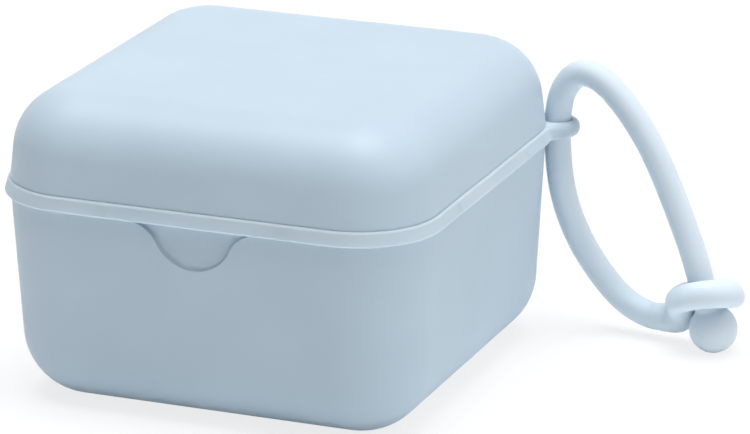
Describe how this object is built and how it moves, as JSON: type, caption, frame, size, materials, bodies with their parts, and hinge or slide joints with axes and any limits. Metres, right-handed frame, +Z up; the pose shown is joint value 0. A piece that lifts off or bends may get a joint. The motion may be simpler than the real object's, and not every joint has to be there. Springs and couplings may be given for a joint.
{
  "type": "pacifier sterilizer case",
  "caption": "Rounded square steam case for soothers with a hinged lid, silicone seal band, thumb recess, lift-out rack and a carrying strap loop.",
  "frame": {"origin": "centre of the flat face that the case rests on", "axes": "+Z up to the lid, -Y towards the thumb recess, hinge at +Y, strap eye at the +X +Y corner"},
  "size_m": [0.1327, 0.0983, 0.0638],
  "materials": {
    "case_polypropylene": "fine matte moulded polypropylene, pale blue",
    "band_silicone": "soft matte silicone, pale blue",
    "pin_acetal": "smooth moulded plastic",
    "rack_polypropylene": "fine matte moulded polypropylene, off-white",
    "strap_silicone": "soft matte silicone, pale blue, slightly translucent"
  },
  "bodies": {
    "case": {"base_shell": "case_polypropylene", "seal_band": "band_silicone", "hinge_pin": "pin_acetal", "strap_cord": "strap_silicone", "strap_ball": "strap_silicone", "strap_ring": "strap_silicone"},
    "lid": {"lid_shell": "case_polypropylene"},
    "rack": {"steam_rack": "rack_polypropylene"}
  },
  "joints": [
    {"name": "lid_hinge", "type": "hinge", "parent": "case", "child": "lid", "pos_m": [0, 0.0489, 0.0445], "axis": [-1, 0, 0], "range_deg": [0, 105]},
    {"name": "rack_lift", "type": "slide", "parent": "case", "child": "rack", "axis": [0, 0, 1], "range_m": [0, 0.03]}
  ]
}
